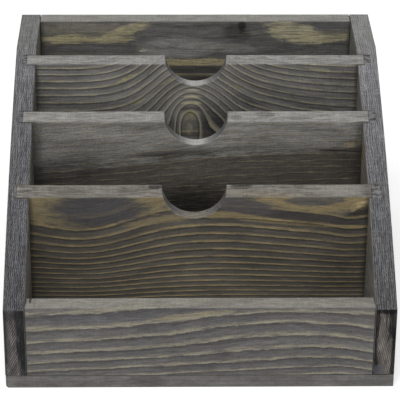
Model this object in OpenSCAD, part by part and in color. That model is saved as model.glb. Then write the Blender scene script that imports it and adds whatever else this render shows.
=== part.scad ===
// Desk mail organizer in grey-stained pine: two side boards with a curved top edge stand on a
// base board, with a low rail in front, three notched dividers let into the sides, and a back.
// X runs across, Y from front to back, Z up. The origin is under the middle of the base.

/* [Width and boards] */
// Outside width
organizer_w = 330; // [240:1:420]
// Thickness of the side boards
side_t = 18; // [16:0.5:24]
// Thickness of the base board
base_t = 12; // [8:0.5:20]
// Thickness of the front rail
rail_t = 18; // [10:0.5:24]
// Thickness of the back panel
back_t = 18; // [10:0.5:24]
// Thickness of the dividers
divider_t = 12; // [8:0.5:16]

/* [Slots, front to back] */
// Clear depth of the slot behind the front rail
front_slot = 78; // [50:1:110]
// Clear depth of the second slot
second_slot = 63; // [40:1:90]
// Clear depth of the third slot
third_slot = 54; // [40:1:90]
// Clear depth of the slot before the back panel
rear_slot = 73; // [40:1:90]

/* [Heights above the base board] */
// Height of the sides at their front end
side_front_h = 63; // [40:1:90]
// Height of the sides and the back panel at the rear
side_rear_h = 193; // [160:1:240]
// Height of the front rail
rail_h = 66; // [40:1:90]

/* [Curved top edge of the sides] */
// Length of the level stretch at the rear
flat_top = 81; // [50:1:110]
// How far the curve stands out beyond a straight slope
curve_rise = 9; // [2:0.5:18]

/* [Finger notches] */
// Radius of the notches
notch_r = 28; // [14:0.5:36]
// Height of the front notch's centre above the tall edge of its divider
front_notch_lift = 1.5; // [0:0.1:6]
// Height of the middle notch's centre above the tall edge of its divider
middle_notch_lift = 0.3; // [0:0.1:6]
// Height of the rear notch's centre above the tall edge of its divider
rear_notch_lift = 2.6; // [0:0.1:6]

/* [Joints of the dividers] */
// Depth of the grooves cut into the sides
dado_depth = 12; // [6:0.5:13]
// Width of a groove beyond the divider's thickness
dado_play = 0.8; // [0.2:0.1:1.6]
// Length that a divider leaves free in each groove when it stands in the middle
end_gap = 5; // [4:0.5:5.5]
// Sideways place of the front divider
front_shift = -4; // [-4:0.5:4]
// Sideways place of the middle divider
middle_shift = -1.5; // [-4:0.5:4]
// Sideways place of the rear divider
rear_shift = -1; // [-4:0.5:4]
// How deep the filler reaches into the open end of a groove
filler_depth = 14; // [6:1:24]
// How far the filler has shrunk below the edge
filler_sink = 0.5; // [0.2:0.1:1.5]

/* [Edges and seams] */
// Rounding of the base board's lower edges
base_round = 1; // [0.5:0.5:6]
// Rounding of the rail's top edges
rail_round = 2; // [0.5:0.5:4]
// Open seam at each end of the rail and the back panel
butt_seam = 0.4; // [0.2:0.1:1]

/* [Brads] */
// Length of a brad
brad_l = 32; // [26:1:36]
// Diameter of a brad's shank
brad_d = 1.6; // [1.2:0.1:2.4]
// Diameter of a brad's head
brad_head_d = 2.6; // [2.5:0.1:4]
// Thickness of a brad's head
brad_head_h = 1.2; // [0.8:0.1:2]
// Length of a brad's point
brad_point = 3; // [1:0.5:5]
// Depth that the heads are set below the surface
brad_set = 0.6; // [0.2:0.1:1]
// Room around a brad in its hole
brad_room = 0.05; // [0.03:0.01:0.1]
// Distance of the outer brads from the ends of a board
brad_edge = 22; // [14:1:40]

/* [Hidden] */
$fn = 64;
curve_facets = 900;
margin = 5;

// Places along the depth, measured from the front face
organizer_d = rail_t + front_slot + second_slot + third_slot + rear_slot + 3 * divider_t + back_t;
front_divider_y = rail_t + front_slot;
middle_divider_y = front_divider_y + divider_t + second_slot;
rear_divider_y = middle_divider_y + divider_t + third_slot;
back_y = organizer_d - back_t;
divider_places = [front_divider_y, middle_divider_y, rear_divider_y];
divider_shifts = [front_shift, middle_shift, rear_shift];

// Heights from the table
side_front_z = base_t + side_front_h;
top_z = base_t + side_rear_h;
rail_z = base_t + rail_h;

// Lengths across
inner_w = organizer_w - 2 * side_t;
groove_floor_x = organizer_w / 2 - side_t + dado_depth;
divider_l = 2 * (groove_floor_x - end_gap);
butted_l = inner_w - 2 * butt_seam;

// The curve is one arc from the front corner to the level stretch
curve_end_y = organizer_d - flat_top;
chord_y = curve_end_y;
chord_z = top_z - side_front_z;
chord = sqrt(chord_y * chord_y + chord_z * chord_z);
curve_r = chord * chord / (8 * curve_rise) + curve_rise / 2;
curve_drop = curve_r - curve_rise;
curve_centre_y = chord_y / 2 + curve_drop * chord_z / chord;
curve_centre_z = side_front_z + chord_z / 2 - curve_drop * chord_y / chord;

// Height of the side's top edge at the distance y from the front
function edge_z(y) = y >= curve_end_y ? top_z
    : curve_centre_z + sqrt(curve_r * curve_r - pow(y - curve_centre_y, 2));

grey_stain = [0.42, 0.41, 0.39];
light_stain = [0.52, 0.51, 0.48];
dark_stain = [0.34, 0.33, 0.33];
filler_grey = [0.60, 0.59, 0.57];
steel = [0.62, 0.62, 0.64];

// Puts a drawing made with front at 0 and depth to the right upright across the organizer
module across(x, length) {
    translate([x, -organizer_d / 2, 0])
        rotate([90, 0, 90])
            linear_extrude(length)
                children();
}

// Side view of everything below the sides' top edge, lowered by sink
module side_outline(sink = 0) {
    intersection() {
        translate([0, base_t])
            square([organizer_d, side_rear_h - sink]);
        union() {
            translate([curve_centre_y, curve_centre_z])
                circle(curve_r - sink, $fn = curve_facets);
            translate([curve_end_y, base_t])
                square([flat_top, side_rear_h]);
        }
    }
}

// Rectangle from 0 with its two lower corners rounded, or its two upper ones when flipped
module eased_section(length, height, round, flipped = false) {
    translate([0, flipped ? height : 0])
        mirror([0, flipped ? 1 : 0])
            union() {
                translate([0, round])
                    square([length, height - round]);
                translate([round, 0])
                    square([length - 2 * round, height]);
                for (corner = [round, length - round])
                    translate([corner, round])
                        circle(round);
            }
}

// One brad: its head at the origin and its point up
module brad(room = 0) {
    head_r = brad_head_d / 2 + room;
    shank_r = brad_d / 2 + room;
    rotate_extrude()
        polygon([
            [0, 0],
            [head_r, 0],
            [head_r, brad_head_h],
            [shank_r, brad_head_h],
            [shank_r, brad_l - brad_point],
            [0, brad_l]
        ]);
}

// Hole for a brad, open to the surface that the brad was driven from
module brad_hole() {
    translate([0, 0, -brad_set - margin])
        cylinder(r = brad_head_d / 2 + brad_room, h = brad_set + margin + brad_head_h);
    cylinder(r = brad_d / 2 + brad_room, h = brad_l + brad_room);
}

// Brads that come up through the base, into the cross boards and between the grooves of the sides
module at_base_brads() {
    cross_places = [
        rail_t / 2,
        front_divider_y + divider_t / 2,
        middle_divider_y + divider_t / 2,
        rear_divider_y + divider_t / 2,
        back_y + back_t / 2
    ];
    slot_places = [
        rail_t + front_slot / 2,
        middle_divider_y - second_slot / 2,
        rear_divider_y - third_slot / 2,
        back_y - rear_slot / 2
    ];
    reach = inner_w / 2 - brad_edge;
    for (y = cross_places, x = [-reach, 0, reach])
        translate([x, y - organizer_d / 2, brad_set])
            children();
    for (y = slot_places, x = [-1, 1])
        translate([x * (organizer_w - side_t) / 2, y - organizer_d / 2, brad_set])
            children();
}

// Brads that go in through the sides, into the ends of the rail and the back panel
module at_side_brads() {
    rail_heights = [base_t + brad_edge, rail_z - brad_edge];
    back_heights = [base_t + brad_edge, base_t + side_rear_h / 2, top_z - brad_edge];
    for (hand = [0, 1])
        mirror([hand, 0, 0]) {
            for (z = rail_heights)
                translate([brad_set - organizer_w / 2, (rail_t - organizer_d) / 2, z])
                    rotate([0, 90, 0])
                        children();
            for (z = back_heights)
                translate([brad_set - organizer_w / 2, (organizer_d - back_t) / 2, z])
                    rotate([0, 90, 0])
                        children();
        }
}

module all_brad_holes() {
    at_base_brads()
        brad_hole();
    at_side_brads()
        brad_hole();
}

module base_board() {
    color(grey_stain)
        difference() {
            intersection() {
                across(-organizer_w / 2, organizer_w)
                    eased_section(organizer_d, base_t, base_round);
                translate([-organizer_w / 2, organizer_d / 2, 0])
                    rotate([90, 0, 0])
                        linear_extrude(organizer_d)
                            eased_section(organizer_w, base_t, base_round);
            }
            at_base_brads()
                brad_hole();
        }
}

// Groove for one divider, open at the top edge and at the foot of the side
module groove(y) {
    translate([groove_floor_x - dado_depth - margin, y - (organizer_d + dado_play) / 2, base_t - margin])
        cube([dado_depth + margin, divider_t + dado_play, side_rear_h + 2 * margin]);
}

// The side on the right, when seen from the front
module side_board() {
    difference() {
        across(organizer_w / 2 - side_t, side_t)
            side_outline();
        for (y = divider_places)
            groove(y);
    }
}

module left_side() {
    color(dark_stain)
        difference() {
            mirror([1, 0, 0])
                side_board();
            all_brad_holes();
        }
}

module right_side() {
    color(dark_stain)
        difference() {
            side_board();
            all_brad_holes();
        }
}

module front_rail() {
    color(grey_stain)
        difference() {
            across(-butted_l / 2, butted_l)
                translate([0, base_t])
                    eased_section(rail_t, rail_h, rail_round, flipped = true);
            all_brad_holes();
        }
}

// Cross board whose top edge is cut flush with the sides, with a notch for the fingers
module divider(y, shift, notch_lift) {
    difference() {
        intersection() {
            across(shift - divider_l / 2, divider_l)
                side_outline();
            translate([shift - divider_l / 2, y - organizer_d / 2, base_t])
                cube([divider_l, divider_t, side_rear_h]);
        }
        translate([shift, y - organizer_d / 2 - margin, edge_z(y + divider_t) + notch_lift])
            rotate([-90, 0, 0])
                cylinder(r = notch_r, h = divider_t + 2 * margin, $fn = 128);
        at_base_brads()
            brad_hole();
    }
}

module front_divider() {
    color(light_stain)
        divider(front_divider_y, front_shift, front_notch_lift);
}

module middle_divider() {
    color(light_stain)
        divider(middle_divider_y, middle_shift, middle_notch_lift);
}

module rear_divider() {
    color(light_stain)
        divider(rear_divider_y, rear_shift, rear_notch_lift);
}

module back_panel() {
    color(grey_stain)
        difference() {
            translate([-butted_l / 2, back_y - organizer_d / 2, base_t])
                cube([butted_l, back_t, side_rear_h]);
            all_brad_holes();
        }
}

// Filler in the stretch of each groove that its divider leaves free, one plug at each end
module joint_filler() {
    color(filler_grey)
        for (i = [0 : 2], hand = [0, 1])
            mirror([hand, 0, 0])
                filler_plug(divider_places[i], hand == 0 ? divider_shifts[i] : -divider_shifts[i]);
}

module filler_plug(y, shift) {
    plug_l = end_gap - shift;
    foot_z = edge_z(y) - filler_sink - filler_depth;
    intersection() {
        across(groove_floor_x - plug_l, plug_l)
            side_outline(filler_sink);
        translate([groove_floor_x - plug_l, y - (organizer_d + dado_play) / 2, foot_z])
            cube([plug_l, divider_t + dado_play, top_z - foot_z]);
    }
}

module base_brads() {
    color(steel)
        at_base_brads()
            brad();
}

module side_brads() {
    color(steel)
        at_side_brads()
            brad();
}

base_board();
left_side();
right_side();
front_rail();
front_divider();
middle_divider();
rear_divider();
back_panel();
joint_filler();
base_brads();
side_brads();
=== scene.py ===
from math import cos, pi, radians, sin

import bmesh
import bpy
from mathutils import Euler, Matrix, Vector, noise


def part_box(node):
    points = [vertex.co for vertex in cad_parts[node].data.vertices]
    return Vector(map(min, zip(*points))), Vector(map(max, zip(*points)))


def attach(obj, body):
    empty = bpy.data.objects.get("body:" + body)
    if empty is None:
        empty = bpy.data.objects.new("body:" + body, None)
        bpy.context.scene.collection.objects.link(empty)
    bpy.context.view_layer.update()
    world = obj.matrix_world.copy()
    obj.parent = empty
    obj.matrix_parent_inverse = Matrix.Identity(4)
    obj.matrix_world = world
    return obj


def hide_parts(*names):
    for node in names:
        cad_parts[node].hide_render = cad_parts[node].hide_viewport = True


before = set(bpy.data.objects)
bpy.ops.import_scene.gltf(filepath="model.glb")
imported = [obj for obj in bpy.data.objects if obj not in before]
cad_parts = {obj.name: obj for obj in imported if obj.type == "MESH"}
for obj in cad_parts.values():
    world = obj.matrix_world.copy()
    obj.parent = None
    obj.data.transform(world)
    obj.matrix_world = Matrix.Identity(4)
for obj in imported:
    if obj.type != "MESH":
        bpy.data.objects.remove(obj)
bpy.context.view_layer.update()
scene = bpy.context.scene
scene.view_settings.view_transform = "Standard"

mm = 0.001  # one millimetre in the scene's metres
weld = 0.001 * mm  # points closer together than this are one


# Camera, floor and studio light

cameraSetup = {
    "lens": 184.9,
    "sensor": 36,
    "nearest": 0.05,
    "farthest": 50,
    "place": (-0.0303, -1.6576, 0.9333),
    "yaw": 1.13,  # degrees to the right
    "pitch": 26.89,  # degrees down
    "roll": 0.38,
}

studioSetup = {
    "roomLight": 0.52,  # strength of the even light from all round
    "keyWatts": 34,
    "keyPlace": (-0.25, -1.15, 2.1),
    "keyAim": (0, 0, 0.08),
    "keySize": 1.5,
    "floorSize": 12,
    "floorDrop": 0.05 * mm,  # keeps the floor clear of the base's underside
    "floorGap": 0.3 * mm,  # rays that meet the floor sooner than this pass through it
    "floorColour": 0.9,
    "floorLift": 0.42,  # what only the camera sees, so that the lit floor is white
}


def makeCamera(setup):
    data = bpy.data.cameras.new("studioCamera")
    data.lens = setup["lens"]
    data.sensor_width = setup["sensor"]
    data.clip_start = setup["nearest"]
    data.clip_end = setup["farthest"]
    camera = bpy.data.objects.new("studioCamera", data)
    turn = (
        Matrix.Rotation(radians(-setup["yaw"]), 4, "Z")
        @ Matrix.Rotation(radians(90 - setup["pitch"]), 4, "X")
        @ Matrix.Rotation(radians(setup["roll"]), 4, "Z")
    )
    camera.matrix_world = Matrix.Translation(setup["place"]) @ turn
    scene.collection.objects.link(camera)
    scene.camera = camera


def makeLamp(setup):
    data = bpy.data.lights.new("keyLight", "AREA")
    data.shape = "SQUARE"
    data.size = setup["keySize"]
    data.energy = setup["keyWatts"]
    lamp = bpy.data.objects.new("keyLight", data)
    place = Vector(setup["keyPlace"])
    aim = Vector(setup["keyAim"]) - place
    lamp.matrix_world = Matrix.Translation(place) @ aim.to_track_quat("-Z", "Y").to_matrix().to_4x4()
    scene.collection.objects.link(lamp)


def makeWorld(setup):
    world = bpy.data.worlds.new("studioRoom")
    scene.world = world
    world.use_nodes = True
    tree = world.node_tree
    tree.nodes.clear()
    rays = addNode(tree, "LightPath")
    seen = plus(tree, rays.outputs["Is Camera Ray"], rays.outputs["Is Glossy Ray"])
    seen = plus(tree, seen, rays.outputs["Is Transmission Ray"])
    seen = calc(tree, "MINIMUM", seen, 1.0)
    strength = ramp(tree, seen, 0.0, 1.0, setup["roomLight"], 1.0)
    light = addNode(tree, "Background")
    feed(tree, light.inputs["Strength"], strength)
    out = addNode(tree, "OutputWorld")
    tree.links.new(light.outputs[0], out.inputs[0])


def makeFloor(setup):
    bm = bmesh.new()
    bmesh.ops.create_grid(bm, x_segments=1, y_segments=1, size=setup["floorSize"] / 2,
                          matrix=Matrix.Translation((0, 0, -setup["floorDrop"])))
    floor = finishMesh(bm, "studioFloor")
    material, tree, surface = newMaterial("studioFloor")
    surface.inputs["Base Color"].default_value = (setup["floorColour"],) * 3 + (1,)
    surface.inputs["Roughness"].default_value = 1.0
    surface.inputs["Specular IOR Level"].default_value = 0.0
    surface.inputs["Emission Color"].default_value = (1, 1, 1, 1)
    rays = addNode(tree, "LightPath")
    lift = times(tree, rays.outputs["Is Camera Ray"], setup["floorLift"])
    feed(tree, surface.inputs["Emission Strength"], lift)
    # the floor is clear from below, and it lets light through to the base that stands on it
    below = addNode(tree, "NewGeometry").outputs["Backfacing"]
    under = calc(tree, "LESS_THAN", rays.outputs["Ray Length"], setup["floorGap"])
    clear = calc(tree, "MAXIMUM", below, under)
    feed(tree, surface.inputs["Alpha"], minus(tree, 1.0, clear))
    floor.data.materials.append(material)


# Small helpers for meshes, materials and node trees

def finishMesh(bm, name):
    mesh = bpy.data.meshes.new(name)
    bm.to_mesh(mesh)
    bm.free()
    thing = bpy.data.objects.new(name, mesh)
    scene.collection.objects.link(thing)
    return thing


def wholeMesh(bm):
    return bm.verts[:] + bm.edges[:] + bm.faces[:]


def newMaterial(name):
    material = bpy.data.materials.new(name)
    material.use_nodes = True
    tree = material.node_tree
    return material, tree, tree.nodes["Principled BSDF"]


def addNode(tree, kind, **settings):
    node = tree.nodes.new("ShaderNode" + kind)
    for name, value in settings.items():
        setattr(node, name, value)
    return node


def feed(tree, socket, value):
    if isinstance(value, bpy.types.NodeSocket):
        tree.links.new(value, socket)
    else:
        socket.default_value = value


def calc(tree, operation, *values):
    node = addNode(tree, "Math", operation=operation)
    for socket, value in zip(node.inputs, values):
        feed(tree, socket, value)
    return node.outputs[0]


def plus(tree, one, other):
    return calc(tree, "ADD", one, other)


def minus(tree, one, other):
    return calc(tree, "SUBTRACT", one, other)


def times(tree, value, *factors):
    for factor in factors:
        value = calc(tree, "MULTIPLY", value, factor)
    return value


def ramp(tree, value, low, high, start=0.0, end=1.0, kind="SMOOTHSTEP"):
    node = addNode(tree, "MapRange", interpolation_type=kind)
    given = {"Value": value, "From Min": low, "From Max": high, "To Min": start, "To Max": end}
    for label, item in given.items():
        feed(tree, node.inputs[label], item)
    return node.outputs["Result"]


def spread(tree, value, amount):
    # turns a noise value into a factor round 1
    return ramp(tree, value, 0.3, 0.7, 1 - amount, 1 + amount, "LINEAR")


def shaded(tree, colour, light):
    # lightens or darkens a colour by a factor
    return mixColour(tree, 1.0, colour, joinVector(tree, light, light, light), "MULTIPLY")


def mixColour(tree, amount, under, over, blend="MIX"):
    node = addNode(tree, "Mix", data_type="RGBA", blend_type=blend)
    feed(tree, node.inputs["Factor"], amount)
    feed(tree, node.inputs[6], under)
    feed(tree, node.inputs[7], over)
    return node.outputs[2]


def stretched(tree, vector, sizes, shift=(0, 0, 0)):
    node = addNode(tree, "Mapping")
    feed(tree, node.inputs["Vector"], vector)
    node.inputs["Scale"].default_value = tuple(1 / size for size in sizes)
    node.inputs["Location"].default_value = shift
    return node.outputs[0]


def cloud(tree, vector, sizes, detail=2.0, roughness=0.5, shift=(0, 0, 0)):
    node = addNode(tree, "TexNoise")
    feed(tree, node.inputs["Vector"], stretched(tree, vector, sizes, shift))
    node.inputs["Scale"].default_value = 1.0
    node.inputs["Detail"].default_value = detail
    node.inputs["Roughness"].default_value = roughness
    return node.outputs[0]


def swing(tree, vector, sizes, **settings):
    # a cloud that swings round 0
    return minus(tree, cloud(tree, vector, sizes, **settings), 0.5)


def splitVector(tree, vector):
    node = addNode(tree, "SeparateXYZ")
    feed(tree, node.inputs[0], vector)
    return node.outputs


def joinVector(tree, x, y, z):
    node = addNode(tree, "CombineXYZ")
    for socket, value in zip(node.inputs, (x, y, z)):
        feed(tree, socket, value)
    return node.outputs[0]


def newGroup(name, inputs, outputs):
    group = bpy.data.node_groups.new(name, "ShaderNodeTree")
    for label, value in inputs.items():
        kind = "NodeSocketVector" if isinstance(value, tuple) else "NodeSocketFloat"
        socket = group.interface.new_socket(label, in_out="INPUT", socket_type=kind)
        socket.default_value = value
    for label in outputs:
        group.interface.new_socket(label, in_out="OUTPUT", socket_type="NodeSocketFloat")
    start = group.nodes.new("NodeGroupInput")
    end = group.nodes.new("NodeGroupOutput")
    return group, start.outputs, end.inputs


def useGroup(tree, group, values):
    node = addNode(tree, "Group", node_tree=group)
    for label, value in values.items():
        feed(tree, node.inputs[label], value)
    return node.outputs


def inMillimetres(tree, turn=0, front=0):
    # a board is turned until X runs along it, and Y starts at the face that its grain is drawn on
    place = addNode(tree, "Mapping")
    feed(tree, place.inputs["Vector"], addNode(tree, "TexCoord").outputs["Object"])
    place.inputs["Scale"].default_value = (1 / mm,) * 3
    place.inputs["Rotation"].default_value = (0, 0, radians(turn))
    place.inputs["Location"].default_value = (0, -front, 0)
    return place.outputs[0]


def addBump(tree, surface, height, look):
    bump = addNode(tree, "Bump")
    bump.inputs["Strength"].default_value = look["bumpStrength"]
    bump.inputs["Distance"].default_value = look["bump"]
    feed(tree, bump.inputs["Height"], height)
    feed(tree, surface.inputs["Normal"], bump.outputs[0])


def stain(red, green, blue):
    # colours are written as they look on screen, from 0 to 255
    def linear(level):
        level = level / 255
        return level / 12.92 if level <= 0.04045 else ((level + 0.055) / 1.055) ** 2.4
    return (linear(red), linear(green), linear(blue), 1.0)


# Shared wood effects, all in millimetres: X along the board, Y through it, Z across it

fibreSizes = {  # along, through and across a board
    "fine": (13, 1.4, 1.4),
    "coarse": (60, 3.2, 3.2),
    "dashes": (5, 0.8, 0.8),  # open pores
    "grit": (1.7, 1.7, 1.7),
    "marks": (1.8, 30, 16),  # left across the board by its cutter
}


def ovalReach(tree, dx, dz, length, height):
    # the squared distance from the middle of an oval, 1 at its border
    a = calc(tree, "DIVIDE", dx, length)
    b = calc(tree, "DIVIDE", dz, height)
    return plus(tree, times(tree, a, a), times(tree, b, b))


def makeGrowthHill():
    # a smooth rise in the growth layers, which bends the grain lines round it
    tree, given, out = newGroup("growthHill", {
        "Vector": (0, 0, 0), "Along": 0.0, "Across": 0.0, "Length": 50.0, "Height": 50.0, "Lift": 5.0,
    }, ["Rise"])
    x, y, z = splitVector(tree, given["Vector"])
    dx = minus(tree, x, given["Along"])
    dz = minus(tree, z, given["Across"])
    reach = ovalReach(tree, dx, dz, given["Length"], given["Height"])
    fall = calc(tree, "EXPONENT", times(tree, reach, -1.0))
    feed(tree, out["Rise"], times(tree, fall, given["Lift"]))
    return tree


def makeGrowthRings():
    # a thin pale line at each ring, sharp below and soft above, with a dark band under it
    tree, given, out = newGroup("growthRings", {
        "Field": 0.0, "Vector": (0, 0, 0), "Middle": 0.0, "Spacing": 7.0, "Start": 0.0, "Drift": 0.0,
        "Wander": 0.1, "Jag": 0.1, "Line": 0.2, "Soft": 0.2, "Shadow": 0.3,
    }, ["Line", "Shade"])
    driftReach = 30.0  # millimetres from the middle at which the drift is felt in full
    away = minus(tree, given["Field"], given["Middle"])
    far = calc(tree, "DIVIDE", away, driftReach)
    phase = plus(tree, calc(tree, "DIVIDE", away, given["Spacing"]), given["Start"])
    phase = calc(tree, "MULTIPLY_ADD", times(tree, far, far), given["Drift"], phase)
    wave = swing(tree, given["Vector"], (45, 12, 9))
    jag = swing(tree, given["Vector"], (9, 4, 1.8), roughness=0.6, shift=(1, 5, 2))
    phase = calc(tree, "MULTIPLY_ADD", wave, given["Wander"], phase)
    phase = calc(tree, "MULTIPLY_ADD", jag, given["Jag"], phase)
    ring = calc(tree, "FLOOR", plus(tree, phase, 0.5))
    part = minus(tree, phase, ring)  # from -0.5 below a line to 0.5 above it
    # each ring has its own width
    dice = addNode(tree, "TexWhiteNoise", noise_dimensions="1D")
    feed(tree, dice.inputs["W"], ring)
    uneven = ramp(tree, dice.outputs["Value"], 0.0, 1.0, 0.75, 1.25, "LINEAR")
    width = times(tree, given["Line"], uneven)
    above = ramp(tree, part, times(tree, width, 0.4), plus(tree, width, given["Soft"]), 1.0, 0.0)
    below = ramp(tree, part, times(tree, width, -0.7), times(tree, width, -0.1))
    shadeEdge = times(tree, given["Shadow"], -1.0)
    shade = ramp(tree, part, shadeEdge, times(tree, width, -0.5))
    feed(tree, out["Line"], times(tree, above, below))
    feed(tree, out["Shade"], times(tree, shade, minus(tree, 1.0, below)))
    return tree


def makeFibres(sizes):
    # fine and coarse streaks that run with the grain, and the short dark dashes of open pores
    tree, given, out = newGroup("woodFibres", {"Vector": (0, 0, 0)}, [
        "Fine", "Coarse", "Grit", "Marks", "Dashes", "Height",
    ])
    vector = given["Vector"]
    fine = cloud(tree, vector, sizes["fine"], detail=3.0, roughness=0.65)
    coarse = cloud(tree, vector, sizes["coarse"], detail=3.0, roughness=0.6, shift=(5, 3, 1))
    dashes = ramp(tree, cloud(tree, vector, sizes["dashes"], detail=1.0, shift=(2, 7, 4)), 0.58, 0.70)
    grit = cloud(tree, vector, sizes["grit"], roughness=0.7, shift=(9, 1, 6))
    marks = cloud(tree, vector, sizes["marks"], roughness=0.6, shift=(3, 3, 8))
    height = fine
    for value, share in ((dashes, -0.5), (grit, 0.3), (marks, 0.25)):
        height = calc(tree, "MULTIPLY_ADD", value, share, height)
    for label, value in zip(("Fine", "Coarse", "Grit", "Marks", "Dashes", "Height"),
                            (fine, coarse, grit, marks, dashes, height)):
        feed(tree, out[label], value)
    return tree


def makeStainPatch():
    # an oval of other stain with a ragged border
    tree, given, out = newGroup("stainPatch", {
        "Vector": (0, 0, 0), "Along": 0.0, "Across": 0.0, "Length": 30.0, "Height": 8.0, "Slope": 0.0,
        "Ragged": 1.2, "Soft": 0.16, "Streaks": 0.0, "Shift": 0.0,
    }, ["Mask"])
    x, y, z = splitVector(tree, given["Vector"])
    dx = minus(tree, x, given["Along"])
    dz = minus(tree, z, given["Across"])
    dz = minus(tree, dz, times(tree, dx, given["Slope"]))
    reach = calc(tree, "SQRT", ovalReach(tree, dx, dz, given["Length"], given["Height"]))
    rag = swing(tree, given["Vector"], (18, 6, 3.2), detail=5.0, roughness=0.66)
    reach = calc(tree, "MULTIPLY_ADD", rag, given["Ragged"], reach)
    low = minus(tree, 1.0, given["Soft"])
    high = plus(tree, 1.0, given["Soft"])
    place = joinVector(tree, x, y, plus(tree, z, given["Shift"]))
    streaks = cloud(tree, place, (20, 5, 1.6), detail=4.0, roughness=0.7, shift=(7, 7, 2))
    left = ramp(tree, streaks, 0.4, 0.58, minus(tree, 1.0, given["Streaks"]), 1.0)
    feed(tree, out["Mask"], times(tree, left, ramp(tree, reach, low, high, 1.0, 0.0)))
    return tree


def makeWornRim():
    # how close a point is to the rim of its board, between two corners given in millimetres
    tree, given, out = newGroup("wornRim", {
        "Vector": (0, 0, 0), "Low": (0, 0, 0), "High": (1, 1, 1), "Width": 2.0,
    }, ["Mask"])
    spans = []
    for value, low, high in zip(*(splitVector(tree, given[label]) for label in ("Vector", "Low", "High"))):
        toLow = minus(tree, value, low)
        toHigh = minus(tree, high, value)
        spans.append(calc(tree, "MINIMUM", toLow, toHigh))
    # the middle one of the three spans is the distance to the nearest rim
    total = plus(tree, plus(tree, spans[0], spans[1]), spans[2])
    least = calc(tree, "MINIMUM", calc(tree, "MINIMUM", spans[0], spans[1]), spans[2])
    most = calc(tree, "MAXIMUM", calc(tree, "MAXIMUM", spans[0], spans[1]), spans[2])
    toRim = minus(tree, minus(tree, total, least), most)
    rag = swing(tree, given["Vector"], (7, 4, 4), detail=3.0)
    toRim = calc(tree, "MULTIPLY_ADD", rag, times(tree, given["Width"], 1.6), toRim)
    feed(tree, out["Mask"], ramp(tree, toRim, 0.0, given["Width"], 1.0, 0.0))
    return tree


growthHill = makeGrowthHill()
growthRings = makeGrowthRings()
woodFibres = makeFibres(fibreSizes)
stainPatch = makeStainPatch()
wornRim = makeWornRim()
print("shared wood effects are ready")


# Stained pine, one material per board

plainPine = {
    "turn": 0,  # degrees round Z that bring the board's length to X
    "front": 0.0,  # Y of the face that the grain is drawn on, in millimetres
    "tilt": 0.0,
    "lean": 0.35,  # how fast the layers change through the board
    "hills": [],  # rises in the grain: place along and across, length, height and rise
    "rings": {"Middle": 60.0, "Spacing": 7.5, "Start": 0.0, "Drift": 0.0, "Wander": 0.25, "Jag": 0.1,
              "Line": 0.14, "Soft": 0.22, "Shadow": 0.35},
    "ground": stain(84, 82, 79),
    "pale": stain(104, 102, 98),
    "mottleSize": (70, 25, 14),
    "line": stain(140, 130, 104),
    "lineAmount": 0.8,
    "shade": stain(52, 50, 49),
    "shadeAmount": 0.6,
    "broken": 0.35,  # how much of a line is left where it breaks
    "breakSize": (24, 8, 2.4),
    "fibre": 0.7,  # strength of all the streaks, and the share of each kind
    "fibreShares": {"Fine": 0.42, "Coarse": 0.2, "Grit": 0.22, "Marks": 0.07},
    "dashShare": -0.3,
    "patches": [],
    "patchFace": 1.0,  # 1 puts the patches on the face towards -Y, -1 on the other one
    "paintedLight": [],  # painted light and shade: like hills, but their last value adds to the lightness
    "seam": stain(40, 39, 38),  # painted shade in the corners where a face meets the sides
    "seamPlace": 147.0,
    "seamWidth": 5.0,
    "seamAmount": 0.55,
    "seamRag": (6, 6, 14),
    "sawn": stain(140, 138, 133),  # top edges, sanded pale
    "sawnDark": stain(118, 115, 110),
    "sawnGrain": (14, 1.7, 1.7),
    "sawnLine": 0.15,
    "sawnMarks": 0.10,
    "markSize": (1.5, 22, 22),
    "sawnGrit": 0.12,
    "sawnMottle": 0.08,
    "sawnMottleSize": (30, 9, 30),
    "sawnPores": 0.0,  # how dark the open pores are, and the share of that at the end of the fade
    "poresLeft": 0.3,
    "poreSize": (2.8, 0.8, 2.8),
    "poreRows": 0.0,  # how strongly the pores stand in rows along the board
    "loosePores": 0.4,  # share of the others that full rows leave
    "rowSpacing": 1.8,
    "rowSway": 3.0,
    "rowSwaySize": (45, 12, 45),
    "rowBend": (-170, -90, 0.0, 0.0),  # from, to, and how far the rows are shifted at either
    "dotSize": (2.2, 1.1, 2.2),
    "sawnFade": (-170, 170, 1.0, 1.0),  # from, to, and how light it is at either
    "sawnRim": 0.0,  # how much of it is left on the eased rims
    "flankShade": stain(92, 92, 98),  # painted shade where a notch turns upright
    "flankShadeAmount": 0.0,
    "topPatches": [],
    "end": stain(86, 85, 84),
    "endLine": stain(112, 107, 101),
    "endAmount": 0.9,
    "endGrit": 0.14,
    "endGritSize": (3, 1.2, 1.2),
    "endCloud": 0.35,
    "endCloudSize": (9, 5, 14),
    "endFaintSize": (9, 6, 11),  # where the rings fade on the end grain
    "endPatches": [],
    "rim": stain(126, 124, 120),
    "rimAmount": 0.3,
    "rimWidth": 1.6,
    "roughness": (0.88, 0.72),
    "lineGloss": -0.08,
    "specular": 0.16,
    "bump": 0.12 * mm,
    "lineHeight": 0.6,
    "bumpStrength": 0.7,
}


def addHills(tree, vector, hills, value):
    for hill in hills:
        given = dict(zip(("Along", "Across", "Length", "Height", "Lift"), hill), Vector=vector)
        value = plus(tree, value, useGroup(tree, growthHill, given)["Rise"])
    return value


def patch(at, colour, amount, edge=None, hidesLines=False):
    # at is its place along and across, half its length and height, and its slope where it has one
    return {
        "at": at, "colour": stain(*colour), "amount": amount, "edge": edge or {}, "hidesLines": hidesLines,
    }


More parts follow.
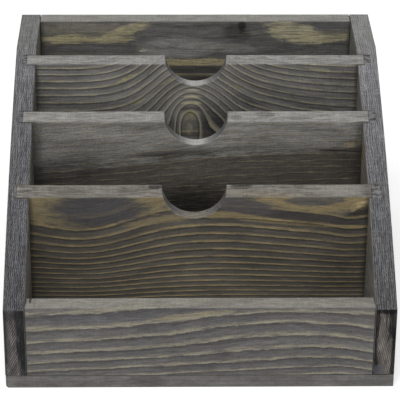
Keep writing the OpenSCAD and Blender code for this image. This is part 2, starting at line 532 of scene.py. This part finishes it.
def addPatches(tree, vector, patches, colour, where, linesLeft=1.0):
    labels = ("Along", "Across", "Length", "Height", "Slope")
    for spot in patches:
        given = dict(zip(labels, spot["at"]), Vector=vector, **spot["edge"])
        mask = times(tree, useGroup(tree, stainPatch, given)["Mask"], spot["amount"], where)
        colour = mixColour(tree, mask, colour, spot["colour"])
        if spot["hidesLines"]:
            linesLeft = times(tree, linesLeft, minus(tree, 1.0, mask))
    return colour, linesLeft


def readGrain(tree, look):
    # where a point is in its board, which way it faces, and the rings and fibres there
    vector = inMillimetres(tree, look["turn"], look["front"])
    facing = addNode(tree, "Mapping", vector_type="VECTOR")
    feed(tree, facing.inputs["Vector"], addNode(tree, "TexCoord").outputs["Normal"])
    facing.inputs["Rotation"].default_value = (0, 0, radians(look["turn"]))
    along, through, across = splitVector(tree, vector)
    field = calc(tree, "MULTIPLY_ADD", along, look["tilt"], across)
    field = calc(tree, "MULTIPLY_ADD", through, look["lean"], field)
    field = addHills(tree, vector, look["hills"], field)
    fibrePlace = joinVector(tree, along, through, field)
    rings = dict(plainPine["rings"], **look["rings"], Field=field, Vector=vector)
    return {
        "vector": vector, "along": along, "through": through, "across": across, "fibrePlace": fibrePlace,
        "facing": splitVector(tree, facing.outputs[0]),
        "rings": useGroup(tree, growthRings, rings),
        "fibres": useGroup(tree, woodFibres, {"Vector": fibrePlace}),
    }


def faceColour(tree, look, grain):
    # ground, patches and lines on the faces
    mottle = cloud(tree, grain["fibrePlace"], look["mottleSize"], detail=3.0)
    colour = mixColour(tree, ramp(tree, mottle, 0.3, 0.7), look["ground"], look["pale"])
    patchSide = ramp(tree, times(tree, grain["facing"][1], look["patchFace"]), -0.6, -0.2, 1.0, 0.0)
    colour, linesLeft = addPatches(tree, grain["vector"], look["patches"], colour, patchSide)
    breaks = cloud(tree, grain["fibrePlace"], look["breakSize"], detail=3.0, roughness=0.6)
    breaks = times(tree, ramp(tree, breaks, 0.36, 0.56, look["broken"], 1.0), look["lineAmount"], linesLeft)
    shadeMask = times(tree, grain["rings"]["Shade"], look["shadeAmount"], linesLeft)
    colour = mixColour(tree, shadeMask, colour, look["shade"])
    colour = mixColour(tree, times(tree, grain["rings"]["Line"], breaks), colour, look["line"])

    # painted shade in the corners near the sides
    rag = times(tree, cloud(tree, grain["vector"], look["seamRag"], detail=3.0), look["seamWidth"])
    nearCorner = plus(tree, calc(tree, "ABSOLUTE", grain["along"]), rag)
    reach = look["seamWidth"] / 2
    seam = ramp(tree, nearCorner, look["seamPlace"] - reach, look["seamPlace"] + reach)
    colour = mixColour(tree, times(tree, seam, look["seamAmount"]), colour, look["seam"])

    # streaks, pores, and painted light and shade
    light = 1.0
    for label, share in look["fibreShares"].items():
        light = times(tree, light, spread(tree, grain["fibres"][label], share * look["fibre"]))
    light = calc(tree, "MULTIPLY_ADD", grain["fibres"]["Dashes"], look["dashShare"] * look["fibre"], light)
    return shaded(tree, colour, addHills(tree, grain["vector"], look["paintedLight"], light))


def poreMask(tree, look, grain):
    # open pores, scattered or in rows of dots
    pores = cloud(tree, grain["vector"], look["poreSize"], roughness=0.6, shift=(8, 4, 6))
    pores = ramp(tree, pores, 0.5, 0.68)
    if not look["poreRows"]:
        return pores
    sway = cloud(tree, grain["vector"], look["rowSwaySize"], detail=1.0, shift=(1, 6, 3))
    rows = calc(tree, "MULTIPLY_ADD", sway, look["rowSway"], grain["through"])
    rows = plus(tree, rows, ramp(tree, grain["along"], *look["rowBend"]))
    rows = calc(tree, "SINE", times(tree, rows, 2 * pi / look["rowSpacing"]))
    dots = cloud(tree, grain["vector"], look["dotSize"], detail=1.0, shift=(2, 9, 3))
    dots = ramp(tree, dots, 0.4, 0.58, 0.15, 1.0)
    rows = times(tree, ramp(tree, rows, -0.1, 0.9), dots, look["poreRows"])
    left = 1 - (1 - look["loosePores"]) * look["poreRows"]
    return calc(tree, "MAXIMUM", times(tree, pores, left), rows)


def sawnColour(tree, look, grain):
    # sawn top edges, with marks across them
    vector, along = grain["vector"], grain["along"]
    streak = cloud(tree, vector, look["sawnGrain"], detail=3.0, roughness=0.7)
    sawn = mixColour(tree, ramp(tree, streak, 0.34, 0.66), look["sawnDark"], look["sawn"])
    for label, colour in (("Line", look["line"]), ("Shade", look["shade"])):
        sawn = mixColour(tree, times(tree, grain["rings"][label], look["sawnLine"]), sawn, colour)
    place = joinVector(tree, along, grain["across"], grain["through"])
    sawn = addPatches(tree, place, look["topPatches"], sawn, 1.0)[0]

    fadeFrom, fadeTo, fadeStart, fadeEnd = look["sawnFade"]
    fade = ramp(tree, along, fadeFrom, fadeTo, fadeStart, fadeEnd, "LINEAR")
    mottle = cloud(tree, vector, look["sawnMottleSize"])
    saw = cloud(tree, vector, look["markSize"], roughness=0.6, shift=(6, 2, 2))
    for value, amount in ((mottle, "sawnMottle"), (saw, "sawnMarks"), (grain["fibres"]["Grit"], "sawnGrit")):
        fade = times(tree, fade, spread(tree, value, look[amount]))
    poreStart = -look["sawnPores"]
    poreFade = ramp(tree, along, fadeFrom, fadeTo, poreStart, look["poresLeft"] * poreStart, "LINEAR")
    fade = times(tree, fade, calc(tree, "MULTIPLY_ADD", poreMask(tree, look, grain), poreFade, 1.0))
    sawn = shaded(tree, sawn, fade)
    # painted shade on the upright flanks of a notch
    flankShade = ramp(tree, calc(tree, "ABSOLUTE", grain["facing"][0]), 0.15, 0.75)
    return mixColour(tree, times(tree, flankShade, look["flankShadeAmount"]), sawn, look["flankShade"])


def endColour(tree, look, grain):
    # end grain, with patches on the end that looks forward
    vector = grain["vector"]
    grit = cloud(tree, vector, look["endGritSize"], detail=3.0, shift=(4, 4, 4))
    faint = cloud(tree, vector, look["endFaintSize"], detail=3.0, shift=(8, 3, 2))
    cloudy = cloud(tree, vector, look["endCloudSize"], detail=3.0, shift=(1, 4, 7))
    ring = times(tree, grain["rings"]["Line"], ramp(tree, faint, 0.38, 0.6, 0.15, 0.9))
    end = mixColour(tree, ring, look["end"], look["endLine"])
    light = times(tree, spread(tree, grit, look["endGrit"]), spread(tree, cloudy, look["endCloud"]))
    end = shaded(tree, end, light)
    frontEnd = ramp(tree, grain["facing"][0], -0.6, -0.2, 1.0, 0.0)
    place = joinVector(tree, grain["across"], grain["along"], grain["through"])
    return addPatches(tree, place, look["endPatches"], end, frontEnd)[0]


def pineMaterial(name, node, changes):
    look = dict(plainPine, **changes)
    material, tree, surface = newMaterial(name)
    grain = readGrain(tree, look)
    facingX, facingY, facingZ = grain["facing"]
    colour = faceColour(tree, look, grain)
    onRim = ramp(tree, calc(tree, "ABSOLUTE", facingY), 0.55, 0.75, 1.0, look["sawnRim"])
    onTop = times(tree, ramp(tree, facingZ, 0.3, 0.7), onRim)
    colour = mixColour(tree, onTop, colour, sawnColour(tree, look, grain))
    onEnd = times(tree, ramp(tree, calc(tree, "ABSOLUTE", facingX), 0.5, 0.9), look["endAmount"])
    colour = mixColour(tree, onEnd, colour, endColour(tree, look, grain))
    low, high = boardCorners(node, look["turn"], look["front"])
    rim = useGroup(tree, wornRim, {
        "Vector": grain["vector"], "Low": low, "High": high, "Width": look["rimWidth"],
    })["Mask"]
    colour = mixColour(tree, times(tree, rim, look["rimAmount"]), colour, look["rim"])
    feed(tree, surface.inputs["Base Color"], colour)

    # matt stain, a little smoother on the hard lines
    rough = ramp(tree, grain["fibres"]["Fine"], 0.3, 0.7, *look["roughness"], "LINEAR")
    rough = calc(tree, "MULTIPLY_ADD", grain["rings"]["Line"], look["lineGloss"], rough)
    feed(tree, surface.inputs["Roughness"], rough)
    surface.inputs["Specular IOR Level"].default_value = look["specular"]
    height = calc(tree, "MULTIPLY_ADD", grain["rings"]["Line"], look["lineHeight"], grain["fibres"]["Height"])
    addBump(tree, surface, height, look)
    return material


def boardCorners(node, turn, front):
    # the board's box in the same turned millimetres as its grain
    low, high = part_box(node)
    spin = Euler((0, 0, radians(turn))).to_matrix()
    ends = [spin @ (corner / mm) + Vector((0, -front, 0)) for corner in (low, high)]
    return tuple(map(min, *ends)), tuple(map(max, *ends))


# Filler in the groove ends, and the steel of the brads

fillerLook = {
    "grid": 1.1 * mm,  # how finely the plugs are cut up
    "sunk": 0.9 * mm,  # most that their top has sunk
    "lump": 2.6 * mm,
    "fineLump": 2.7,  # how many times smaller the small lumps are, and how high
    "fineShare": 0.4,
    "topFacing": 0.3,  # how far up a face has to look to count as the top
    "lumpSize": (5, 3.2, 3.2),
    "crackSize": (9, 1.5, 3),
    "crackAmount": 0.85,
    "body": stain(98, 98, 101),
    "pale": stain(130, 129, 129),
    "crack": stain(44, 43, 43),
    "roughness": (0.95, 0.8),
    "specular": 0.25,
    "bump": 0.4 * mm,
    "bumpStrength": 0.8,
}


def fillerMaterial(look):
    material, tree, surface = newMaterial("roughFiller")
    vector = inMillimetres(tree)
    lumps = cloud(tree, vector, look["lumpSize"], detail=4.0, roughness=0.65)
    lines = cloud(tree, vector, look["crackSize"], shift=(3, 8, 1))
    colour = mixColour(tree, ramp(tree, lumps, 0.35, 0.65), look["body"], look["pale"])
    cracks = ramp(tree, lines, 0.53, 0.62)
    colour = mixColour(tree, times(tree, cracks, look["crackAmount"]), colour, look["crack"])
    feed(tree, surface.inputs["Base Color"], colour)
    feed(tree, surface.inputs["Roughness"], ramp(tree, lumps, 0.3, 0.7, *look["roughness"]))
    surface.inputs["Specular IOR Level"].default_value = look["specular"]
    addBump(tree, surface, calc(tree, "MULTIPLY_ADD", cracks, -1.0, lumps), look)
    return material


def makeFiller(look):
    node = "joint_filler"
    bm = bmesh.new()
    bm.from_mesh(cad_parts[node].data)
    bmesh.ops.remove_doubles(bm, verts=bm.verts, dist=weld)
    low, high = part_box(node)
    for axis in range(2):
        normal = Vector([float(axis == i) for i in range(3)])
        for i in range(1, int((high[axis] - low[axis]) / look["grid"]) + 1):
            point = low + normal * look["grid"] * i
            bmesh.ops.bisect_plane(bm, geom=wholeMesh(bm), dist=weld, plane_co=point, plane_no=normal)
    bm.normal_update()
    for vert in bm.verts:
        if vert.normal.z > look["topFacing"]:
            place = vert.co / look["lump"]
            sink = 0.5 + noise.noise(place) + look["fineShare"] * noise.noise(place * look["fineLump"])
            vert.co.z -= max(0.0, sink) * look["sunk"]
    filler = finishMesh(bm, "grooveFiller")
    filler.data.materials.append(fillerMaterial(look))
    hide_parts(node)
    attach(filler, "root")


steelLook = {
    "steel": stain(178, 178, 182),
    "dull": stain(120, 119, 120),
    "scratchSize": (0.25, 0.25, 0.25),
    "roughness": (0.3, 0.55),
    "bump": 0.03 * mm,
    "bumpStrength": 0.5,
}


def steelMaterial(look):
    material, tree, surface = newMaterial("bradSteel")
    scratches = cloud(tree, inMillimetres(tree), look["scratchSize"], detail=3.0)
    colour = mixColour(tree, ramp(tree, scratches, 0.4, 0.7), look["steel"], look["dull"])
    feed(tree, surface.inputs["Base Color"], colour)
    feed(tree, surface.inputs["Roughness"], ramp(tree, scratches, 0.3, 0.7, *look["roughness"]))
    surface.inputs["Metallic"].default_value = 1.0
    addBump(tree, surface, scratches, look)
    return material


# Boards: copies of the model's own boards with eased and slightly worn rims

boardFinish = {
    "easing": 0.6 * mm,  # radius of the rims
    "step": 5 * mm,  # how often a rim can change
    "wear": 0.5 * mm,  # most that a rim has lost
    "wearLength": 16 * mm,
    "fineWear": 3,  # how many times shorter the small dents are, and how deep
    "fineShare": 0.5,
    "back": 1.85,  # how much of a loss moves a rim back along the flat faces
    "down": 0.5,  # and how much of it lowers the middle of the rim
    "shortest": 0.7 * mm,  # shorter edges belong to the brad holes and stay as they are
    "bluntest": 25,  # degrees; blunter edges aren't eased
    "flattest": 0.05,  # degrees; faces that turn less are joined
    "bevelCuts": 2,
    "cornerCuts": 7,
}


def rimEdges(bm, finish):
    return [
        edge for edge in bm.edges
        if len(edge.link_faces) == 2 and edge.is_convex and edge.calc_length() > finish["shortest"]
        and edge.calc_face_angle() > radians(finish["bluntest"])
    ]


def roundCorner(bm, corner, radius, cuts):
    # planes cut an upright corner of a board to a curve
    toX = -1 if corner[0] > 0 else 1
    toY = -1 if corner[1] > 0 else 1
    centre = Vector((corner[0] + toX * radius, corner[1] + toY * radius, 0)) * mm
    for i in range(cuts):
        angle = radians(90 * (i + 0.5) / cuts)
        normal = Vector((-toX * cos(angle), -toY * sin(angle), 0))
        point = centre + normal * radius * mm
        made = bmesh.ops.bisect_plane(bm, geom=wholeMesh(bm), dist=weld, plane_co=point, plane_no=normal,
                                      clear_outer=True)
        rim = [item for item in made["geom_cut"] if isinstance(item, bmesh.types.BMEdge)]
        bmesh.ops.contextual_create(bm, geom=rim)


def easedBoard(name, node, finish, chips, corners):
    bm = bmesh.new()
    bm.from_mesh(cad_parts[node].data)
    bmesh.ops.remove_doubles(bm, verts=bm.verts, dist=weld)
    bmesh.ops.dissolve_limit(bm, angle_limit=radians(finish["flattest"]), verts=bm.verts, edges=bm.edges)
    for x, y, radius in corners:
        roundCorner(bm, (x, y), radius, finish["cornerCuts"])
    for edge in rimEdges(bm, finish):
        cuts = int(edge.calc_length() / finish["step"])
        if cuts:
            bmesh.ops.subdivide_edges(bm, edges=[edge], cuts=cuts)
    made = bmesh.ops.bevel(bm, geom=rimEdges(bm, finish), offset=finish["easing"], offset_type="OFFSET",
                           segments=finish["bevelCuts"], profile=0.5, affect="EDGES", material=-1,
                           clamp_overlap=False)
    for face in bm.faces:
        face.smooth = False
    for face in made["faces"]:
        face.smooth = True
    bm.normal_update()
    eased = set(made["faces"])
    for vert in {vert for face in eased for vert in face.verts}:
        place = vert.co / finish["wearLength"]
        loss = noise.noise(place) + finish["fineShare"] * noise.noise(place * finish["fineWear"])
        loss = max(0.0, loss) * finish["wear"]
        for x, y, z, radius, depth in chips:
            away = (vert.co - Vector((x, y, z)) * mm).length / (radius * mm)
            loss += depth * mm * max(0.0, 1 - away * away)
        out = sum((face.normal for face in vert.link_faces if face in eased), Vector()).normalized()
        flats = [face.normal for face in vert.link_faces if face not in eased]
        for normal in flats * 2:
            out -= normal * out.dot(normal)  # a flat face stays flat, its rim only moves back along it
        vert.co -= out * loss * finish["back" if flats else "down"]
    board = finishMesh(bm, name)
    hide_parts(node)
    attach(board, "root")
    return board


def border(ragged, soft, streaks, shift=0):
    # how ragged and how soft the border of a patch is, and how streaked its stain
    return {"Ragged": ragged, "Soft": soft, "Streaks": streaks, "Shift": shift}


ragged = border(2.2, 0.2, 0.6)
soft = border(1.4, 0.5, 0.25)
glowing = border(0.5, 0.7, 0.2)
crumbled = border(1.4, 0.2, 0.45)
almond = border(0.9, 0.25, 0.4)
mottled = border(1.8, 0.25, 0.3)
charred = border(1, 0.25, 0.15)
combed = border(0.4, 0.2, 1)
combedDark = border(0.4, 0.2, 1, 3)

sidePine = {
    "turn": -90, "seamAmount": 0, "hills": [(30, 110, 110, 60, 16)],
    "ground": stain(112, 109, 103), "pale": stain(134, 131, 124), "lineAmount": 0.22, "shadeAmount": 0.3,
    "sawnGrain": (17, 1, 14), "sawnLine": 0.25, "sawnMarks": 0.12, "sawnGrit": 0.28, "sawnPores": 0.85,
    "poreRows": 1, "endAmount": 1, "rimAmount": 0.1,
}

# chips are x, y, z, radius and depth, and corners are x, y and radius, all in millimetres
boards = {
    "front_divider": {
        "piece": "frontDivider", "slot": "divider_pine",
        "chips": [(-27.5, -74, 122, 4.5, 1.3), (-21, -74, 116.5, 3.5, 0.9), (151, -74, 131, 4, 1)],
        "look": {
            "front": -74, "tilt": -0.01,
            "hills": [(-97, 140, 45, 70, 18), (10, 110, 90, 55, -12), (130, 125, 16, 40, 4)],
            "rings": {"Middle": 80, "Spacing": 6.6, "Start": 0.16, "Drift": -0.9, "Wander": 0.12,
                      "Jag": 0.22, "Line": 0.13, "Shadow": 0.4},
            "ground": stain(78, 75, 70), "pale": stain(98, 94, 88), "line": stain(154, 138, 102),
            "shade": stain(42, 40, 39), "shadeAmount": 0.62, "fibre": 0.55,
            "paintedLight": [(0, 75, 85, 60, 0.15), (0, 50, 75, 26, 0.4), (145, 60, 40, 60, -0.1),
                      (-110, 85, 50, 25, -0.07)],
            "sawn": stain(136, 132, 125), "sawnDark": stain(99, 94, 88), "flankShadeAmount": 0.8, "sawnRim": 1,
            "patches": [
                patch((-95, 130, 75, 24, 0.05), (136, 124, 94), 0.8, hidesLines=True),
                patch((-88, 120.5, 41, 15.5), (76, 75, 77), 0.95, {"Ragged": 1.2, "Soft": 0.24}),
                patch((-30, 111, 34, 4, 0.16), (132, 120, 92), 0.7, hidesLines=True),
                patch((24, 115.5, 30, 3.4, -0.02), (134, 121, 92), 0.8, hidesLines=True),
                patch((75, 108.3, 46, 2.3, -0.09), (136, 123, 93), 0.75),
                patch((130, 103.8, 22, 1.7), (140, 127, 94), 0.75),
                patch((98, 132, 55, 13, -0.08), (146, 132, 98), 0.85, hidesLines=True),
                patch((101, 130, 26, 6), (88, 87, 86), 0.9),
                patch((139, 125, 8, 3.5, 0.5), (186, 170, 128), 0.7, ragged),
                patch((140, 117, 13, 5, 0.35), (44, 42, 41), 0.8, soft),
                patch((142, 127.5, 1.8, 1.5), (204, 190, 148), 0.5, soft),
                patch((139, 123.5, 2, 1.4, 0.3), (204, 190, 146), 0.55, soft),
                patch((134, 119.5, 2.2, 1.1, 0.3), (196, 182, 138), 0.45, soft),
                patch((84, 114, 60, 4.5, -0.12), (66, 63, 62), 0.75, hidesLines=True),
                patch((38, 124, 28, 7, -0.15), (84, 80, 80), 0.85, hidesLines=True),
            ],
            "topPatches": [
                patch((-154, 6, 10, 8), (158, 155, 150), 0.75, combed),
                patch((-154, 6, 10, 8), (74, 72, 70), 0.65, combedDark),
                patch((126, 6, 16, 6), (146, 143, 138), 0.5, soft),
                patch((-38, 10.4, 6, 2.6), (52, 50, 48), 0.85, crumbled),
                patch((36.5, 10.4, 10, 2.8), (48, 46, 44), 0.95, crumbled),
                patch((147, 6, 6, 5), (74, 72, 72), 0.6, ragged),
            ],
        },
    },
    "middle_divider": {
        "piece": "middleDivider", "slot": "divider_pine",
        "chips": [(152, 10, 169, 5, 1.4)],
        "look": {
            "front": 1, "tilt": -0.06,
            "hills": [(40, 150, 90, 60, -6)],
            "rings": {"Middle": 130, "Spacing": 6.1, "Start": 0.3, "Wander": 0.8, "Jag": 0.3,
                      "Line": 0.08, "Soft": 0.10, "Shadow": 0.2},
            "ground": stain(114, 113, 109), "pale": stain(140, 139, 134), "line": stain(142, 130, 104),
            "lineAmount": 0.5, "shadeAmount": 0.3, "broken": 0, "fibre": 0.8, "seamWidth": 12,
            "paintedLight": [(0, 122, 70, 16, 0.1), (-10, 78, 60, 16, -0.2)],
            "patches": [
                patch((10, 96, 260, 40, 0.085), (82, 77, 71), 0.9, {"Ragged": 0.6, "Soft": 0.1}),
                # painted shade: a dark patch low in the middle, deep in the slot behind the front notch
                patch((-6, 80, 46, 25), (34, 32, 27), 0.92, soft, hidesLines=True),
                patch((-22, 138, 38, 3, 0.05), (48, 46, 44), 0.85, soft),
                patch((20, 143, 70, 2.6, 0.05), (78, 77, 74), 0.6, soft),
                patch((-132, 119, 55, 12, 0.15), (46, 44, 43), 0.7, soft),
                patch((142, 132, 20, 20, 0.1), (62, 58, 52), 0.6, soft),
                patch((-55, 164, 14, 3), (86, 86, 84), 0.5, soft),
                patch((140, 148, 12, 3, 0.3), (168, 156, 120), 0.5, ragged),
                patch((132, 141, 24, 1, -0.05), (46, 42, 38), 0.8),
            ],
            "sawn": stain(156, 155, 151), "sawnDark": stain(122, 121, 118), "flankShadeAmount": 0.7,
            "topPatches": [
                # a painted highlight on the bottom of the notch
                patch((-1.5, 6, 9, 10), (202, 201, 195), 0.6, soft),
                patch((34, 5, 5, 3), (98, 97, 96), 0.6, ragged),
                patch((59, 8.5, 9, 2.6), (72, 71, 70), 0.75, ragged),
                patch((92, 4, 11, 2.2), (106, 105, 103), 0.65, ragged),
            ],
        },
    },
    "rear_divider": {
        "piece": "rearDivider", "slot": "divider_pine",
        "look": {
            "front": 67, "tilt": 0.015,
            "hills": [(-7, 240, 48, 115, -48), (-3, 142, 26, 31, -42), (50, 132, 52, 58, -11),
                      (8, 134, 11, 24, 14), (-22, 130, 8, 22, 10)],
            "rings": {"Middle": 160, "Spacing": 7.3, "Start": 0.45, "Drift": 0.3, "Wander": 0.16,
                      "Jag": 0.16, "Line": 0.12, "Shadow": 0.45},
            "ground": stain(98, 97, 95), "pale": stain(126, 125, 122), "line": stain(164, 158, 134),
            "shade": stain(44, 44, 45), "shadeAmount": 0.62, "lineAmount": 0.72,
            "paintedLight": [(-5, 165, 25, 30, 0.12), (130, 165, 60, 30, -0.14), (-150, 148, 40, 14, -0.15),
                      (-90, 178, 60, 22, 0.19)],
            "sawn": stain(154, 153, 150), "sawnDark": stain(120, 119, 117), "flankShadeAmount": 0.7,
            # the top patch is a painted highlight on the bottom of the notch
            "topPatches": [patch((-1, 6, 9, 10), (198, 197, 192), 0.5, soft)],
            "patches": [
                patch((30, 140, 22, 22), (52, 52, 54), 0.5, soft),
                patch((48, 160, 9, 4, -0.5), (52, 52, 54), 0.6, soft),
                patch((-6.5, 145.5, 8, 4.5), (140, 134, 114), 0.8, soft),
                patch((-7, 134, 9, 7.5), (86, 84, 78), 0.8, soft),
                patch((-7, 126.5, 30, 2.4), (66, 64, 54), 0.8, soft),
                patch((-5, 152.5, 10, 2), (74, 73, 70), 0.75, soft),
                patch((-8, 130, 10, 1, 0.03), (150, 140, 98), 0.55),
                patch((20, 134, 16, 13, -0.3), (40, 39, 40), 0.7, soft),
                patch((-24, 134, 6, 10), (44, 43, 44), 0.6, soft),
                patch((-5, 148.5, 7, 2), (160, 152, 116), 0.7, soft),
                patch((-5, 158.7, 8, 1.5), (196, 188, 150), 0.8, glowing),
                patch((-4.5, 165, 7, 1.3), (194, 188, 158), 0.75, glowing),
                patch((-4, 171.5, 6, 1), (186, 182, 156), 0.65, glowing),
                patch((-66, 182, 11, 1.8, 0.5), (164, 156, 112), 0.7, ragged),
                patch((-57, 159, 10, 1.6, 0.35), (158, 150, 110), 0.6, ragged),
                patch((-24, 181, 8, 1.6, 0.4), (158, 150, 112), 0.6, ragged),
                patch((37, 175, 6, 1.6, -0.5), (140, 132, 96), 0.6, ragged),
                patch((112, 192, 14, 1.5, -0.2), (158, 152, 122), 0.6, ragged),
            ],
        },
    },
    "back_panel": {
        "piece": "backBoard", "slot": "grey_pine",
        "look": {
            "front": 152, "hills": [(0, 190, 60, 30, 6)],
            "rings": {"Middle": 160, "Spacing": 12, "Start": 0.1, "Wander": 0.7, "Jag": 0.3,
                      "Line": 0.15, "Soft": 0.2, "Shadow": 0.3},
            "ground": stain(90, 89, 88), "pale": stain(110, 109, 106), "lineAmount": 0.1, "shadeAmount": 0.25,
            "mottleSize": (50, 25, 8),
            "sawn": stain(154, 153, 148), "sawnDark": stain(130, 129, 124),
            "paintedLight": [(135, 172, 60, 14, -0.2), (-135, 170, 40, 12, -0.15), (-95, 192, 50, 14, 0.07),
                      (105, 192, 45, 14, 0.09), (5, 190, 45, 12, 0.07)],
            "patches": [
                patch((-112, 196, 38, 9), (130, 127, 114), 0.85, soft),
                patch((-118, 187, 36, 4.5, 0.02), (178, 168, 132), 0.9, ragged),
                patch((-86, 187, 24, 4.5, 0.05), (170, 160, 124), 0.8, ragged),
                patch((-68, 195, 24, 5.5, 0.32), (174, 166, 132), 0.9, ragged),
                patch((-86, 197, 13, 4.5, 0.3), (128, 121, 112), 0.8, ragged),
                patch((-97, 190.5, 9, 3), (106, 101, 98), 0.8, ragged),
                patch((96, 193, 28, 10, -0.15), (180, 173, 142), 0.95, ragged),
                patch((122, 189, 28, 6, 0.05), (176, 168, 136), 0.9, ragged),
                patch((130, 198, 16, 6), (92, 91, 91), 0.9, soft),
                patch((-18, 178, 36, 11), (142, 141, 137), 0.8, almond),
                patch((24, 178, 34, 5, -0.05), (138, 137, 132), 0.8, almond),
                patch((-50, 175, 3.6, 1.1, 0.1), (176, 170, 144), 0.8),
                patch((38, 194, 14, 9), (58, 57, 56), 0.85, soft),
                patch((44, 200, 3.5, 7), (28, 27, 27), 0.9, soft),
                patch((-5, 163, 70, 3.8, 0.02), (178, 167, 126), 0.9, ragged),
                patch((-5, 155.6, 70, 4), (66, 65, 62), 0.85, {"Ragged": 0.9}),
                patch((-5, 149.6, 70, 1.8, -0.01), (160, 152, 122), 0.75, ragged),
                patch((-5, 138, 70, 12), (54, 52, 49), 0.85, {"Ragged": 0.4}),
            ],
        },
    },
    "front_rail": {
        "piece": "frontRail", "slot": "grey_pine",
        "chips": [(-145, -157, 78, 5, 1.6), (-146.6, -168, 77, 3, 1), (146.6, -153, 78, 4, 1.2)],
        "look": {
            "front": -170, "tilt": -0.05,
            "hills": [(57, 62, 78, 25, -9), (153, 25, 24, 50, 6)],
            "rings": {"Middle": 45, "Spacing": 10.3, "Start": 0.4, "Drift": -0.5, "Wander": 0.42,
                      "Jag": 0.28, "Line": 0.12, "Soft": 0.24, "Shadow": 0.45},
            "ground": stain(96, 93, 93), "pale": stain(108, 106, 105), "line": stain(155, 149, 129),
            "shade": stain(66, 62, 63), "broken": 0.25, "fibre": 0.6, "paintedLight": [(0, 45, 70, 40, -0.05)],
            "sawn": stain(150, 147, 140), "sawnDark": stain(124, 121, 113), "sawnMarks": 0.08,
            "sawnGrit": 0.16, "seamAmount": 0.3, "seamWidth": 2.5,
            "patches": [
                patch((-8, 70.5, 34, 2.6, 0.11), (152, 143, 114), 0.8, ragged),
                patch((-95, 70, 60, 5.5), (96, 96, 100), 0.6, soft),
                patch((120, 69, 40, 6), (102, 99, 97), 0.7, soft),
            ],
            "topPatches": [patch((-142.6, 14, 1.1, 6), (50, 48, 46), 0.8)],
        },
    },
    "base_board": {
        "piece": "baseBoard", "slot": "grey_pine",
        "corners": [(-165, -170, 4.5), (165, -170, 1.5)],
        "look": {
            "front": -170, "ground": stain(104, 102, 100), "pale": stain(118, 116, 114),
            "mottleSize": (12, 10, 10), "lineAmount": 0.1, "shadeAmount": 0.1, "fibre": 0.5,
            "seamAmount": 0, "endAmount": 0.4,
            "sawn": stain(92, 90, 87), "sawnDark": stain(76, 74, 72),
            "patches": [
                patch((-42, 6, 13, 7), (82, 79, 79), 0.7, soft),
                patch((-110, 4, 40, 3), (96, 91, 89), 0.6, soft),
                patch((60, 9, 40, 3), (94, 91, 90), 0.6, soft),
                patch((150, 6, 14, 7), (88, 88, 87), 0.6, soft),
                patch((0, 12.2, 400, 0.9), (52, 51, 50), 0.75, {"Ragged": 0.3}),
            ],
        },
    },
    "left_side": {
        "piece": "leftSide", "slot": "side_pine",
        "look": {
            **sidePine, "front": 165, "lean": 1.9,
            "rings": {"Spacing": 3.8, "Wander": 0.7, "Line": 0.22, "Soft": 0.2, "Shadow": 0.45},
            "line": stain(166, 165, 166), "shade": stain(48, 48, 52),
            "sawn": stain(140, 140, 143), "sawnDark": stain(82, 82, 86),
            "sawnFade": (-170, 150, 0.51, 1.07), "rowBend": (-170, -90, 9, 0),
            "topPatches": [patch((128, -9, 44, 16), (124, 124, 117), 0.5, soft)],
            "patches": [patch((-10, 140, 16, 34), (96, 92, 84), 0.6, soft)],
            "end": stain(77, 74, 75), "endLine": stain(140, 131, 128),
            "endPatches": [
                patch((76, -9, 10, 18), (40, 40, 44), 0.7, charred),
                patch((62, -18, 32, 9), (27, 27, 29), 0.94, mottled),
                patch((38, -18, 24, 7.6), (27, 27, 29), 0.94, mottled),
                patch((17, -18, 16, 4), (30, 30, 32), 0.9, mottled),
                patch((50, 0, 44, 2.6), (36, 36, 40), 0.8, charred),
            ],
        },
    },
    "right_side": {
        "piece": "rightSide", "slot": "side_pine",
        "look": {
            **sidePine, "front": -165, "lean": -3.4, "patchFace": -1,
            "rings": {"Spacing": 6.2, "Wander": 0.6, "Jag": 0.2, "Line": 0.26, "Soft": 0.2, "Shadow": 0.45},
            "line": stain(168, 167, 168), "shade": stain(50, 50, 54),
            "sawn": stain(146, 146, 148), "sawnDark": stain(88, 88, 92),
            "sawnFade": (-170, 150, 0.51, 1.25), "rowBend": (-170, 90, 0, 3),
            "topPatches": [patch((128, 9, 44, 16), (130, 130, 122), 0.5, soft)],
            "patches": [
                patch((-84, 112, 12, 34), (126, 116, 90), 0.6, soft),
                patch((-8, 134, 13, 38), (138, 127, 98), 0.7, soft),
            ],
            "end": stain(88, 85, 82), "endLine": stain(134, 126, 119),
            "endPatches": [
                patch((70, 0, 28, 9), (20, 20, 23), 0.95, mottled),
                patch((28, 0, 36, 3.6), (12, 12, 14), 0.92, charred),
                patch((67, 18, 22, 4.2), (18, 18, 20), 0.95, mottled),
                patch((20, 18, 20, 4), (12, 12, 14), 0.92, charred),
                patch((43, 18, 22, 1.5), (16, 16, 18), 0.92, charred),
                patch((76, 9, 5, 16), (10, 10, 13), 0.97, charred),
                patch((16, 13, 6, 5), (92, 91, 98), 0.6, charred),
            ],
        },
    },
}

makeCamera(cameraSetup)
makeLamp(studioSetup)
makeWorld(studioSetup)
makeFloor(studioSetup)
print("camera, light and floor are set")

for node, plan in boards.items():
    piece = easedBoard(plan["piece"], node, boardFinish, plan.get("chips", []), plan.get("corners", []))
    piece.data.materials.clear()
    piece.data.materials.append(pineMaterial(plan["piece"] + "Pine", node, plan["look"]))
    print("board", plan["piece"], len(piece.data.polygons), "faces")

makeFiller(fillerLook)
bradSteel = steelMaterial(steelLook)
for node in ("base_brads", "side_brads"):
    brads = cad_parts[node]
    brads.data.materials.clear()
    brads.data.materials.append(bradSteel)
print("filler and brads are finished")
